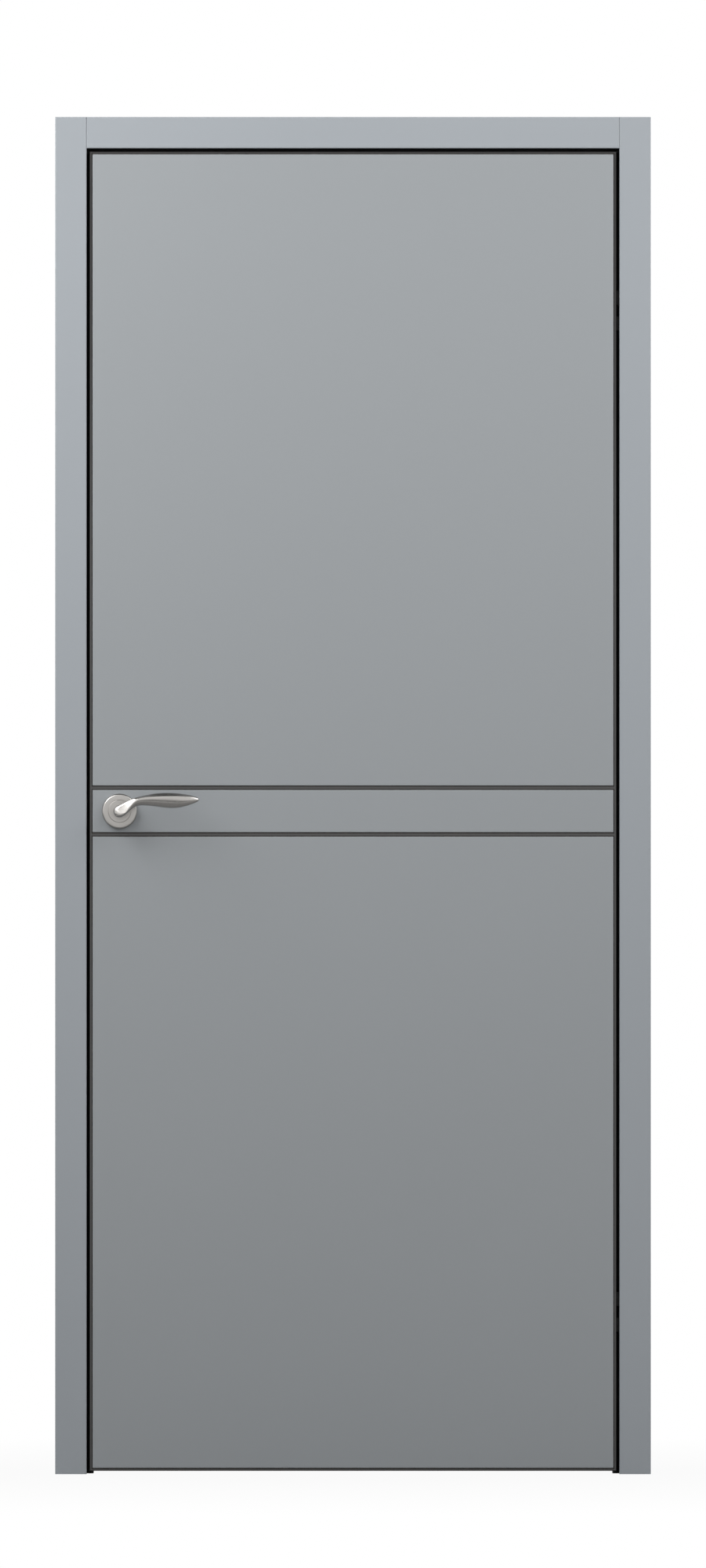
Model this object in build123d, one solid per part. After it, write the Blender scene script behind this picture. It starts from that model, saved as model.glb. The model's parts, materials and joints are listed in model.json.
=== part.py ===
"""Flush interior door: grey leaf in a cased frame, with black edge trims, inlay strips and a lever handle.

Millimetres. +X runs from the lock side to the hinge side, +Y through the wall away from the viewer, +Z up.
The origin is on the wall side of the hinge jamb, at the floor, in the middle of the wall's thickness.
"""

from build123d import *
import os
from math import cos, hypot, isclose, radians, sin

# Driving dimensions of the frame
opening_width = 806.0
opening_height = 2006.5
wall_thickness = 100.0
jamb_thickness = 38.0
casing_width = 47.5
casing_thickness = 10.0
casing_edge_radius = 1.5
stop_width = 10.0
seal_thickness = 3.7
seal_lip_radius = 2.0
seal_clearance = 0.3

# Driving dimensions of the leaf
leaf_gap = 5.0
floor_gap = 5.0
leaf_thickness = 44.0
edge_trim_width = 2.8
edge_trim_bevel = 0.9
panel_thickness = 4.0
panel_edge_radius = 1.4
shadow_groove = 1.1
inlay_width = 4.0
inlay_setback = 0.3
band_height = 64.4

# Driving dimensions of the lever handles
handle_height = 1003.3
handle_backset = 45.0
rose_radius = 26.5
rose_thickness = 9.0
rose_rim_depth = 3.5
rose_rim_width = 3.0
hub_radius = 9.0
hub_reach = 53.0
hub_bevel = 4.5
hub_start = 1.0
hub_clearance = 0.3
spindle_side = 8.0
spindle_engagement = 22.0
spindle_hole_radius = 10.0

# Driving dimensions of the latch and its strike
latch_plate_width = 20.0
latch_plate_height = 180.0
latch_bolt_width = 12.0
latch_bolt_height = 34.0
latch_bolt_depth = 24.0
latch_bolt_clearance = 0.3
strike_plate_width = 22.0
strike_plate_height = 130.0
strike_plate_thickness = 2.0
strike_keeper_width = 14.0
strike_keeper_height = 40.0
strike_keeper_depth = 14.0

# Driving dimensions of the concealed hinges
hinge_inset = 240.0
hinge_axis_offset = 2.5
arm_inner_radius = 32.0
arm_width = 7.0
arm_height = 60.0
arm_start_angle = 30.0
arm_clearance = 0.3
arm_end_room = 1.5
arm_window_height = 18.0
arm_window_sweep = 70.0
cup_wall = 1.5
cup_height = 110.0

# Sections of the lever, from the middle of the hub to the tip. Each has its centre along the leaf, up
# and out from the leaf, its heading and its pitch in degrees, and from the centre the reach of its top,
# ridge, crease, bottom, front and back.
LEVER_SECTIONS = (
    ((0.0, 0.0, 46.0), 30.0, 6.0, (7.6, 4.2, -4.2, -7.8, 6.6, 5.6)),
    ((14.0, 8.1, 47.6), 29.0, 4.0, (5.7, 3.6, -2.4, -5.6, 5.6, 5.0)),
    ((26.0, 13.6, 48.2), 19.0, 2.0, (5.2, 3.0, -0.8, -5.3, 5.6, 5.0)),
    ((42.0, 16.0, 48.6), 5.0, 1.0, (7.8, 3.4, -1.6, -7.8, 6.4, 5.2)),
    ((60.0, 16.5, 49.0), 1.0, 0.0, (9.9, 4.5, -2.0, -9.9, 7.0, 5.5)),
    ((78.0, 16.1, 49.0), 0.0, 0.0, (10.9, 5.5, -1.5, -10.9, 7.0, 5.5)),
    ((96.0, 16.3, 48.8), 1.0, -1.0, (9.2, 4.3, -1.2, -9.2, 6.0, 4.8)),
    ((110.0, 16.7, 48.4), 1.0, -2.0, (5.7, 1.7, -1.2, -5.6, 4.0, 3.2)),
    ((119.0, 16.6, 48.0), -1.0, -3.0, (2.0, 0.6, -0.7, -2.0, 1.6, 1.3)),
)
lever_shoulder = 0.3

# Places that follow from the sizes
hinge_side = -jamb_thickness
lock_side = hinge_side - opening_width
wall_front = -wall_thickness / 2
wall_back = wall_thickness / 2
leaf_front = wall_front - casing_thickness
leaf_back = leaf_front + leaf_thickness
leaf_middle = (leaf_front + leaf_back) / 2
leaf_left = lock_side + leaf_gap
leaf_right = hinge_side - leaf_gap
leaf_bottom = floor_gap
leaf_top = opening_height - leaf_gap
seal_front = leaf_back + seal_clearance
stop_front = seal_front + seal_thickness
core_left = leaf_left + edge_trim_width
core_right = leaf_right - edge_trim_width
core_bottom = leaf_bottom + edge_trim_width
core_top = leaf_top - edge_trim_width
core_front = leaf_front + panel_thickness
core_back = leaf_back - panel_thickness
handle_x = leaf_left + handle_backset
channel_height = inlay_width + 2 * shadow_groove
band_bottom = handle_height - band_height / 2
band_top = handle_height + band_height / 2

hinge_axis_x = hinge_side - leaf_gap / 2
hinge_axis_y = leaf_front - hinge_axis_offset
hinge_heights = {"lower": leaf_bottom + hinge_inset, "upper": leaf_top - hinge_inset}
arm_outer_radius = arm_inner_radius + arm_width
arm_sweep = 180 - 2 * arm_start_angle
cup_front = hinge_axis_y + arm_inner_radius * sin(radians(arm_start_angle)) - arm_clearance - cup_wall
cup_back = hinge_axis_y + arm_outer_radius + arm_clearance + cup_wall
cup_reach = hinge_axis_x + arm_outer_radius * cos(radians(arm_start_angle)) + arm_clearance + cup_wall
cup_width = cup_back - cup_front

LEAF_MIRROR = Plane.XZ.offset(-leaf_middle)
HINGE_MIRROR = Plane.YZ.offset(hinge_axis_x)
HANDLE_PLANE = Plane((handle_x, leaf_front, handle_height), x_dir=(1, 0, 0), z_dir=(0, -1, 0))

parts = {}


def slab(x_low, x_high, y_low, y_high, z_low, z_high):
    size = (x_high - x_low, y_high - y_low, z_high - z_low)
    return Pos(x_low, y_low, z_low) * Box(*size, align=(Align.MIN, Align.MIN, Align.MIN))


def rounded_block(x_low, x_high, y_middle, z_middle, width, height):
    """An upright block with half-round ends, let into an edge from x_low to x_high."""
    face_plane = Plane((x_low, y_middle, z_middle), x_dir=(0, 1, 0), z_dir=(1, 0, 0))
    return extrude(face_plane * SlotOverall(height, width, rotation=90), amount=x_high - x_low)


def soften_front(solid, radius):
    """Round the edges of the face that looks at the viewer, apart from a foot that stands on the floor."""
    front_face = solid.faces().sort_by(Axis.Y)[0]
    raised_edges = [edge for edge in front_face.outer_wire().edges() if edge.center().Z > radius]
    return fillet(raised_edges, radius)


def add_frame():
    outer_top = opening_height + jamb_thickness
    parts["lock_jamb"] = slab(
        lock_side - jamb_thickness, lock_side, wall_front, wall_back, 0, outer_top
    )
    parts["hinge_jamb"] = slab(hinge_side, 0, wall_front, wall_back, 0, outer_top)
    parts["head_jamb"] = slab(
        lock_side, hinge_side, wall_front, wall_back, opening_height, outer_top
    )


def add_casings():
    casing_top = opening_height + casing_width
    front = {
        "lock_casing": slab(
            lock_side - casing_width, lock_side, leaf_front, wall_front, 0, casing_top
        ),
        "hinge_casing": slab(
            hinge_side, hinge_side + casing_width, leaf_front, wall_front, 0, casing_top
        ),
        "head_casing": slab(
            lock_side, hinge_side, leaf_front, wall_front, opening_height, casing_top
        ),
    }
    for name, board in front.items():
        board = soften_front(board, casing_edge_radius)
        parts["front_" + name] = board
        parts["back_" + name] = mirror(board, about=Plane.XZ)


def add_stops():
    stop_top = opening_height - stop_width
    runs = {
        "lock": (lock_side, lock_side + stop_width, 0, stop_top),
        "hinge": (hinge_side - stop_width, hinge_side, 0, stop_top),
        "head": (lock_side, hinge_side, stop_top, opening_height),
    }
    for name, (x_low, x_high, z_low, z_high) in runs.items():
        parts[name + "_stop"] = slab(x_low, x_high, stop_front, wall_back, z_low, z_high)
        strip = slab(x_low, x_high, seal_front, stop_front, z_low, z_high)
        parts[name + "_seal"] = soften_front(strip, seal_lip_radius)


def add_leaf():
    parts["leaf_core"] = slab(core_left, core_right, core_front, core_back, core_bottom, core_top)
    corners = {
        "low_left": (leaf_left, leaf_bottom, core_left, core_bottom),
        "low_right": (leaf_right, leaf_bottom, core_right, core_bottom),
        "high_right": (leaf_right, leaf_top, core_right, core_top),
        "high_left": (leaf_left, leaf_top, core_left, core_top),
    }
    sides = {
        "bottom_edge_trim": ("low_left", "low_right"),
        "hinge_edge_trim": ("low_right", "high_right"),
        "top_edge_trim": ("high_right", "high_left"),
        "lock_edge_trim": ("high_left", "low_left"),
    }
    for name, (start, end) in sides.items():
        start_x, start_z, inner_start_x, inner_start_z = corners[start]
        end_x, end_z, inner_end_x, inner_end_z = corners[end]
        outline = Polyline(
            (start_x, start_z),
            (end_x, end_z),
            (inner_end_x, inner_end_z),
            (inner_start_x, inner_start_z),
            close=True,
        )
        mitred_face = LEAF_MIRROR * make_face(outline)
        bar = extrude(mitred_face, amount=leaf_thickness / 2, both=True)
        outer_edges = [
            edge
            for edge in bar.edges()
            if isclose(edge.length, hypot(end_x - start_x, end_z - start_z))
        ]
        parts[name] = chamfer(outer_edges, edge_trim_bevel)


def add_panels():
    panel_left = core_left + shadow_groove
    panel_right = core_right - shadow_groove
    heights = {
        "lower_panel": (core_bottom + shadow_groove, band_bottom - channel_height),
        "band_panel": (band_bottom, band_top),
        "upper_panel": (band_top + channel_height, core_top - shadow_groove),
    }
    for name, (z_low, z_high) in heights.items():
        sheet = slab(panel_left, panel_right, leaf_front, core_front, z_low, z_high)
        sheet = soften_front(sheet, panel_edge_radius)
        parts["front_" + name] = sheet
        parts["back_" + name] = mirror(sheet, about=LEAF_MIRROR)
    strips = {
        "lower_inlay": band_bottom - channel_height + shadow_groove,
        "upper_inlay": band_top + shadow_groove,
    }
    for name, z_low in strips.items():
        strip = slab(
            core_left,
            core_right,
            leaf_front + inlay_setback,
            core_front,
            z_low,
            z_low + inlay_width,
        )
        parts["front_" + name] = strip
        parts["back_" + name] = mirror(strip, about=LEAF_MIRROR)


def hinge_arm(height, inner_radius, outer_radius, start_angle, sweep):
    """A curved arm about the swing axis, centred on its height."""
    section = Pos((inner_radius + outer_radius) / 2, 0) * Rectangle(outer_radius - inner_radius, height)
    return Rot(0, 0, start_angle) * revolve(Plane.XZ * section, Axis.Z, revolution_arc=sweep)


def add_hinges():
    slot_start = arm_start_angle - arm_end_room
    slot_sweep = 90
    cup_middle = (cup_front + cup_back) / 2
    for name, height in hinge_heights.items():
        place = Pos(hinge_axis_x, hinge_axis_y, height)
        arm = hinge_arm(arm_height, arm_inner_radius, arm_outer_radius, arm_start_angle, arm_sweep)
        window_start = 90 - arm_window_sweep / 2
        window = hinge_arm(
            arm_window_height,
            arm_inner_radius - arm_clearance,
            arm_outer_radius + arm_clearance,
            window_start,
            arm_window_sweep,
        )
        parts[name + "_hinge_arm"] = place * (arm - window)
        slot = place * hinge_arm(
            arm_height + 2 * arm_clearance,
            arm_inner_radius - arm_clearance,
            arm_outer_radius + arm_clearance,
            slot_start,
            slot_sweep,
        )
        pocket = rounded_block(hinge_side, cup_reach, cup_middle, height, cup_width, cup_height)
        cup = pocket - slot
        parts[name + "_hinge_frame_cup"] = cup
        parts[name + "_hinge_leaf_cup"] = mirror(cup, about=HINGE_MIRROR)
        leaf_pocket = mirror(pocket, about=HINGE_MIRROR)
        parts["hinge_jamb"] -= pocket
        parts["hinge_edge_trim"] -= leaf_pocket
        parts["leaf_core"] -= leaf_pocket


def add_latch():
    plate = rounded_block(
        leaf_left, core_left, leaf_middle, handle_height, latch_plate_width, latch_plate_height
    )
    bolt_half_width = latch_bolt_width / 2
    bolt_half_height = latch_bolt_height / 2
    bolt = slab(
        leaf_left,
        leaf_left + latch_bolt_depth,
        leaf_middle - bolt_half_width,
        leaf_middle + bolt_half_width,
        handle_height - bolt_half_height,
        handle_height + bolt_half_height,
    )
    mouth = slab(
        leaf_left,
        core_left,
        leaf_middle - bolt_half_width - latch_bolt_clearance,
        leaf_middle + bolt_half_width + latch_bolt_clearance,
        handle_height - bolt_half_height - latch_bolt_clearance,
        handle_height + bolt_half_height + latch_bolt_clearance,
    )
    parts["lock_edge_trim"] -= plate
    parts["leaf_core"] -= bolt
    parts["latch_faceplate"] = plate - mouth
    parts["latch_bolt"] = bolt


def add_strike():
    plate_back = lock_side - strike_plate_thickness
    plate = rounded_block(
        plate_back, lock_side, leaf_middle, handle_height, strike_plate_width, strike_plate_height
    )
    window_y = (leaf_middle - strike_keeper_width / 2, leaf_middle + strike_keeper_width / 2)
    window_z = (handle_height - strike_keeper_height / 2, handle_height + strike_keeper_height / 2)
    window = slab(plate_back, lock_side, *window_y, *window_z)
    keeper = slab(plate_back - strike_keeper_depth, plate_back, *window_y, *window_z)
    parts["lock_jamb"] -= plate
    parts["lock_jamb"] -= keeper
    parts["strike_plate"] = plate - window
    parts["strike_keeper"] = keeper


def make_rose():
    bore = hub_radius + hub_clearance
    half_section = Polyline(
        (bore, 0),
        (rose_radius, 0),
        (rose_radius, rose_thickness - rose_rim_depth),
        (rose_radius - rose_rim_width, rose_thickness),
        (bore, rose_thickness),
        close=True,
    )
    return revolve(Plane.XZ * make_face(half_section), Axis.Z)


def lever_section(centre, heading, pitch, reaches):
    """A six-sided section that faces along the lever, turned by its heading and pitch."""
    top, ridge, crease, bottom, front, back = reaches
    turn, rise = radians(heading), radians(pitch)
    forward = (cos(turn) * cos(rise), sin(turn) * cos(rise), sin(rise))
    upward = (-sin(turn), cos(turn), 0)
    side = lever_shoulder * (front + back) - back
    outline = Polygon(
        (top, side),
        (ridge, front),
        (crease, front),
        (bottom, side),
        (bottom + lever_shoulder * (crease - bottom), -back),
        (top - lever_shoulder * (top - ridge), -back),
        align=None,
    )
    return Plane(centre, x_dir=upward, z_dir=forward) * outline


def make_lever():
    hub = Pos(0, 0, hub_start) * Cylinder(
        hub_radius, hub_reach - hub_start, align=(Align.CENTER, Align.CENTER, Align.MIN)
    )
    hub = chamfer(hub.edges().sort_by(Axis.Z)[-1], hub_bevel)
    lever = hub + loft([lever_section(*section) for section in LEVER_SECTIONS])
    socket_depth = spindle_engagement - hub_start
    return lever - Pos(0, 0, hub_start) * Box(
        spindle_side, spindle_side, socket_depth, align=(Align.CENTER, Align.CENTER, Align.MIN)
    )


def add_handles():
    front = {"rose": HANDLE_PLANE * make_rose(), "lever": HANDLE_PLANE * make_lever()}
    for name, solid in front.items():
        parts["front_" + name] = solid
        parts["back_" + name] = mirror(solid, about=LEAF_MIRROR)
    spindle_length = leaf_thickness + 2 * spindle_engagement
    middle = Pos(handle_x, leaf_middle, handle_height)
    parts["spindle"] = middle * Box(spindle_side, spindle_length, spindle_side)
    hole = middle * Rot(90, 0, 0) * Cylinder(spindle_hole_radius, leaf_thickness)
    for name in ("leaf_core", "front_band_panel", "back_band_panel"):
        parts[name] -= hole


add_frame()
add_casings()
add_stops()
add_leaf()
add_panels()
add_hinges()
add_latch()
add_strike()
add_handles()

os.makedirs("parts", exist_ok=True)
for node, solid in parts.items():
    export_step(solid, f"parts/{node}.step")
print(len(parts), "pieces")
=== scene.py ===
# %% [markdown]
# An interior door in Blender, one step at a time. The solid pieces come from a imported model, which we
# load first and never move. Everything after that is about looks: light, finishes and fine parts.

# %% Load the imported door
import json
import math

import bmesh
import bpy
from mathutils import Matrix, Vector


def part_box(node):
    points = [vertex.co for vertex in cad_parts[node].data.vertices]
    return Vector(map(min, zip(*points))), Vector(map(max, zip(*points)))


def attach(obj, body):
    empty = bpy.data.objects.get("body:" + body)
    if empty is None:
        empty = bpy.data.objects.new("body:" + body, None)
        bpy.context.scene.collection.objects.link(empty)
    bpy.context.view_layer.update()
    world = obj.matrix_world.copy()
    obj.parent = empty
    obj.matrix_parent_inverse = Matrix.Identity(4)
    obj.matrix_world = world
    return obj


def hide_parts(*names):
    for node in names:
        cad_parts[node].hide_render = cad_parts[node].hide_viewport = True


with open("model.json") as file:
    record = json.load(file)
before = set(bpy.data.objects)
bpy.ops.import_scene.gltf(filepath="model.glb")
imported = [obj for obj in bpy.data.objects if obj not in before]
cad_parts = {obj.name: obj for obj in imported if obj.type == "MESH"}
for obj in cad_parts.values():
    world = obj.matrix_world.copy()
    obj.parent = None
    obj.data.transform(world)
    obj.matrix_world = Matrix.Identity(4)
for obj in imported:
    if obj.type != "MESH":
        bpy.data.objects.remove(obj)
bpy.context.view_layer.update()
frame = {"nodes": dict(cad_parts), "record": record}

MM = 0.001
nodes = frame["nodes"]
casing_low, casing_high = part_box("front_head_casing")
door_middle = (casing_low.x + casing_high.x) / 2
leaf_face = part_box("front_band_panel")[0].y
leaf_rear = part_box("back_band_panel")[1].y

# %% [markdown]
# The picture looks straight at the door from far away, so its lines are all level and upright. A long
# lens at a great distance does the same. The picture's scale, in millimetres a pixel, says how much of
# the world its height holds, and that sets the focal length.

# %% Camera
PICTURE_HEIGHT_PX = 2000
MM_PER_PIXEL = 1.1865
EYE_HEIGHT = 1.0445
EYE_DISTANCE = 40.0
SIGHT_END = 100.0
SENSOR = 36.0

camera_data = bpy.data.cameras.new("eye")
camera_data.sensor_width = SENSOR
camera_data.lens = SENSOR * EYE_DISTANCE / (PICTURE_HEIGHT_PX * MM_PER_PIXEL * MM)
camera_data.clip_end = SIGHT_END
camera = bpy.data.objects.new("eye", camera_data)
camera.location = (door_middle, leaf_face - EYE_DISTANCE, EYE_HEIGHT)
camera.rotation_euler = (math.radians(90), 0, 0)
bpy.context.scene.collection.objects.link(camera)
bpy.context.scene.camera = camera
bpy.context.scene.view_settings.view_transform = "Standard"
print("lens", round(camera_data.lens, 1), "mm")

# %% [markdown]
# Finishes are shader trees. A few small helpers keep the code that builds them short: one adds a node
# with its settings, one joins sockets, and one turns a colour as we see it on screen into the linear
# numbers that the renderer works with.

# %% Helpers for shader trees
def linear(red, green, blue):
    """A colour of 0 to 255 a channel, as seen on screen, in linear light."""
    seen = [channel / 255 for channel in (red, green, blue)]
    return [v / 12.92 if v <= 0.04045 else ((v + 0.055) / 1.055) ** 2.4 for v in seen] + [1.0]


def set_inputs(node, values):
    """Set sockets by their names, with an underscore for each space."""
    for name, value in values.items():
        node.inputs[name.replace("_", " ")].default_value = value


def add_node(tree, kind, settings=None, **values):
    """A new node with its settings, such as its operation, and its socket values."""
    node = tree.nodes.new(kind)
    for name, value in (settings or {}).items():
        setattr(node, name, value)
    set_inputs(node, values)
    return node


def join(tree, *chain):
    """Join pairs of sockets: an output, then the input it feeds."""
    for source, target in zip(chain[::2], chain[1::2]):
        tree.links.new(source, target)


print("tree helpers ready")

# %% [markdown]
# An effect that several finishes share can be copied into each, or built once as a node group, a small
# tree with named sockets. Groups are easier to change later. A finish is then a material with one shader,
# and laying a skin on it joins what a group puts out to that shader.

# %% Helpers for groups and finishes
def new_group(name, inputs, outputs):
    """An empty node group with named sockets: {name: (type, default)} in, {name: type} out."""
    group = bpy.data.node_groups.new(name, "ShaderNodeTree")
    for socket, (kind, default) in inputs.items():
        made = group.interface.new_socket(socket, in_out="INPUT", socket_type="NodeSocket" + kind)
        made.default_value = default
    for socket, kind in outputs.items():
        group.interface.new_socket(socket, in_out="OUTPUT", socket_type="NodeSocket" + kind)
    entry = group.nodes.new("NodeGroupInput")
    leave = group.nodes.new("NodeGroupOutput")
    return group, entry.outputs, leave.inputs


def use_group(tree, group, **values):
    return add_node(tree, "ShaderNodeGroup", {"node_tree": group}, **values)


def new_finish(name, **values):
    """A material with one Principled shader, and its tree."""
    material = bpy.data.materials.new(name)
    material.use_nodes = True
    tree = material.node_tree
    shader = tree.nodes["Principled BSDF"]
    set_inputs(shader, values)
    return material, tree, shader


def lay_skin(tree, shader, skin, strength, depth):
    """Feed a group's roughness, its height as bump and, where it has one, its colour to the shader."""
    bump = add_node(tree, "ShaderNodeBump", Strength=strength, Distance=depth)
    join(
        tree,
        skin.outputs["Roughness"], shader.inputs["Roughness"],
        skin.outputs["Height"], bump.inputs["Height"],
        bump.outputs["Normal"], shader.inputs["Normal"],
    )
    if "Colour" in skin.outputs:
        join(tree, skin.outputs["Colour"], shader.inputs["Base Color"])


print("finish helpers ready")

# %% [markdown]
# Sprayed lacquer is never quite even: it dries with a very fine orange-peel skin, and its tone and gloss
# drift a little across a big board. We could paint that by hand, but noise at two scales gives it for
# every board at once. The group puts out a colour, a roughness and a height, and each finish that uses
# it sets its own colour.

# %% Group: lacquer skin
def make_lacquer_skin():
    group, given, out = new_group(
        "lacquer skin",
        {"Colour": ("Color", (0.3, 0.3, 0.3, 1)), "Drift": ("Float", 0.3), "Gloss": ("Float", 0.42)},
        {"Colour": "Color", "Roughness": "Float", "Height": "Float"},
    )
    place = add_node(group, "ShaderNodeTexCoord")
    cloud = add_node(group, "ShaderNodeTexNoise", Scale=3.0, Detail=4.0, Roughness=0.6)
    peel = add_node(group, "ShaderNodeTexNoise", Scale=700.0, Detail=2.0)
    darker = add_node(group, "ShaderNodeHueSaturation", Value=0.92)
    spread = add_node(group, "ShaderNodeMath", {"operation": "MULTIPLY"})
    blend = add_node(group, "ShaderNodeMix", {"data_type": "RGBA"})
    haze = add_node(group, "ShaderNodeMapRange", From_Min=0.3, From_Max=0.7, To_Min=-0.05, To_Max=0.05)
    rough = add_node(group, "ShaderNodeMath", {"operation": "ADD"})
    join(
        group,
        place.outputs["Object"], cloud.inputs["Vector"],
        place.outputs["Object"], peel.inputs["Vector"],
        cloud.outputs["Fac"], spread.inputs[0],
        given["Drift"], spread.inputs[1],
        given["Colour"], darker.inputs["Color"],
        spread.outputs["Value"], blend.inputs["Factor"],
        given["Colour"], blend.inputs["A"],
        darker.outputs["Color"], blend.inputs["B"],
        cloud.outputs["Fac"], haze.inputs["Value"],
        haze.outputs["Result"], rough.inputs[0],
        given["Gloss"], rough.inputs[1],
        blend.outputs["Result"], out["Colour"],
        rough.outputs["Value"], out["Roughness"],
        peel.outputs["Fac"], out["Height"],
    )
    return group


lacquer_skin = make_lacquer_skin()
print("made", lacquer_skin.name)

# %% [markdown]
# The leaf and the frame are sprayed in almost the same grey. The boards of the frame are a shade lighter
# and bluer, so we make two finishes from the one skin.

# %% Lacquer finishes
LEAF_GREY = linear(146, 150, 153)
CASING_GREY = linear(152, 157, 162)
PEEL_STRENGTH = 0.06
PEEL_DEPTH = 0.05 * MM


def make_lacquer(name, colour):
    material, tree, shader = new_finish(name)
    skin = use_group(tree, lacquer_skin, Colour=colour)
    lay_skin(tree, shader, skin, PEEL_STRENGTH, PEEL_DEPTH)
    return material


leaf_lacquer = make_lacquer("leaf lacquer", LEAF_GREY)
casing_lacquer = make_lacquer("casing lacquer", CASING_GREY)
print("made", leaf_lacquer.name, "and", casing_lacquer.name)

# %% [markdown]
# Metal that was rubbed with an abrasive belt carries fine lines along the rubbing, and a drawn bar
# carries fine lines from its die. Noise that is stretched in one direction gives both. The group takes
# the stretch as a vector, so it serves the lever, the plates and the long black trims alike.

# %% Group: drawn lines
def make_drawn_lines():
    group, given, out = new_group(
        "drawn lines",
        {"Stretch": ("Vector", (20, 900, 900)), "Roughness": ("Float", 0.3), "Spread": ("Float", 0.15)},
        {"Roughness": "Float", "Height": "Float"},
    )
    place = add_node(group, "ShaderNodeTexCoord")
    stretch = add_node(group, "ShaderNodeVectorMath", {"operation": "MULTIPLY"})
    lines = add_node(group, "ShaderNodeTexNoise", Scale=1.0, Detail=3.0)
    centred = add_node(group, "ShaderNodeMath", {"operation": "SUBTRACT"})
    centred.inputs[1].default_value = 0.5
    rough = add_node(group, "ShaderNodeMath", {"operation": "MULTIPLY_ADD"})
    join(
        group,
        place.outputs["Object"], stretch.inputs[0],
        given["Stretch"], stretch.inputs[1],
        stretch.outputs["Vector"], lines.inputs["Vector"],
        lines.outputs["Fac"], centred.inputs[0],
        centred.outputs["Value"], rough.inputs[0],
        given["Spread"], rough.inputs[1],
        given["Roughness"], rough.inputs[2],
        rough.outputs["Value"], out["Roughness"],
        lines.outputs["Fac"], out["Height"],
    )
    return group


drawn_lines = make_drawn_lines()
print("made", drawn_lines.name)

# %% [markdown]
# The black dye on an aluminium trim is a thin skin. The group paints a sheen into its colour: a lighter
# black up to shoulder height, as if the trims caught the light there, and deep black above. It fades
# between the two blacks with height.

# %% Group: painted trim sheen
# painted sheen: the trims' black is lighter low down and deep black high up
def make_painted_trim_sheen():
    group, given, out = new_group(
        "painted trim sheen",
        {
            "Deep": ("Color", (0.02, 0.02, 0.02, 1)),
            "Rubbed": ("Color", (0.06, 0.06, 0.06, 1)),
            "SheenTop": ("Float", 1.25),
            "DeepFrom": ("Float", 1.9),
        },
        {"Colour": "Color"},
    )
    place = add_node(group, "ShaderNodeTexCoord")
    split = add_node(group, "ShaderNodeSeparateXYZ")
    # painted sheen: fully the lighter black below the first height, fading to deep black at the second
    sheen_fade = add_node(group, "ShaderNodeMapRange", {"interpolation_type": "SMOOTHSTEP"})
    blend = add_node(group, "ShaderNodeMix", {"data_type": "RGBA"})
    join(
        group,
        place.outputs["Object"], split.inputs["Vector"],
        split.outputs["Z"], sheen_fade.inputs["Value"],
        given["SheenTop"], sheen_fade.inputs["From Min"],
        given["DeepFrom"], sheen_fade.inputs["From Max"],
        sheen_fade.outputs["Result"], blend.inputs["Factor"],
        given["Rubbed"], blend.inputs["A"],
        given["Deep"], blend.inputs["B"],
        blend.outputs["Result"], out["Colour"],
    )
    return group


painted_trim_sheen = make_painted_trim_sheen()
print("made", painted_trim_sheen.name)

# %% [markdown]
# The lever, the plates and the trims are metal with drawn lines. The lever is rubbed lengthwise, the
# plates upright, and the black trims show the die lines of their own direction, so upright and level
# trims need a finish each. Dye hides the metal, so the trims are shaded as a dark solid with a sheen.

# %% Metal finishes
NICKEL = (0.47, 0.455, 0.435, 1)
DEEP_BLACK = (0.018, 0.017, 0.017, 1)
# the lighter black is a painted sheen, used on the trims below shoulder height
SHEEN_PAINTED_BLACK = (0.058, 0.057, 0.056, 1)
LEVER_ROUGHNESS = 0.24
PLATE_ROUGHNESS = 0.3
TRIM_ROUGHNESS = 0.38
LINE_STRENGTH = 0.15
LINE_DEPTH = 0.02 * MM
ALONG_X = (40, 2500, 2500)
ALONG_Z = (2500, 2500, 40)


def lay_lines(tree, shader, stretch, roughness):
    lines = use_group(tree, drawn_lines, Stretch=stretch, Roughness=roughness)
    lay_skin(tree, shader, lines, LINE_STRENGTH, LINE_DEPTH)


def make_rubbed_nickel(name, stretch, roughness):
    material, tree, shader = new_finish(name, Base_Color=NICKEL, Metallic=1.0)
    lay_lines(tree, shader, stretch, roughness)
    return material


def make_dyed_trim(name, stretch):
    material, tree, shader = new_finish(name)
    # the trim's colour carries a painted sheen: lighter low down, deep black high up
    black = use_group(tree, painted_trim_sheen, Deep=DEEP_BLACK, Rubbed=SHEEN_PAINTED_BLACK)
    join(tree, black.outputs["Colour"], shader.inputs["Base Color"])
    lay_lines(tree, shader, stretch, TRIM_ROUGHNESS)
    return material


lever_nickel = make_rubbed_nickel("lever nickel", ALONG_X, LEVER_ROUGHNESS)
plate_nickel = make_rubbed_nickel("plate nickel", ALONG_Z, PLATE_ROUGHNESS)
upright_trim = make_dyed_trim("upright trim", ALONG_Z)
level_trim = make_dyed_trim("level trim", ALONG_X)
print("metal finishes made")

# %% [markdown]
# The rose is turned on a lathe, so its lines run round the handle's axis. Their pattern depends only on
# the distance from that axis, which the tree works out from the place of each point.

# %% Turned finish of the roses
TURNED_LINES_A_METRE = 2200
TURNED_SMOOTHEST = 0.26
TURNED_ROUGHEST = 0.38
TURNED_STRENGTH = 0.12
rose_low, rose_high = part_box("front_rose")
handle_axis = ((rose_low.x + rose_high.x) / 2, 0, (rose_low.z + rose_high.z) / 2)


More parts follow.
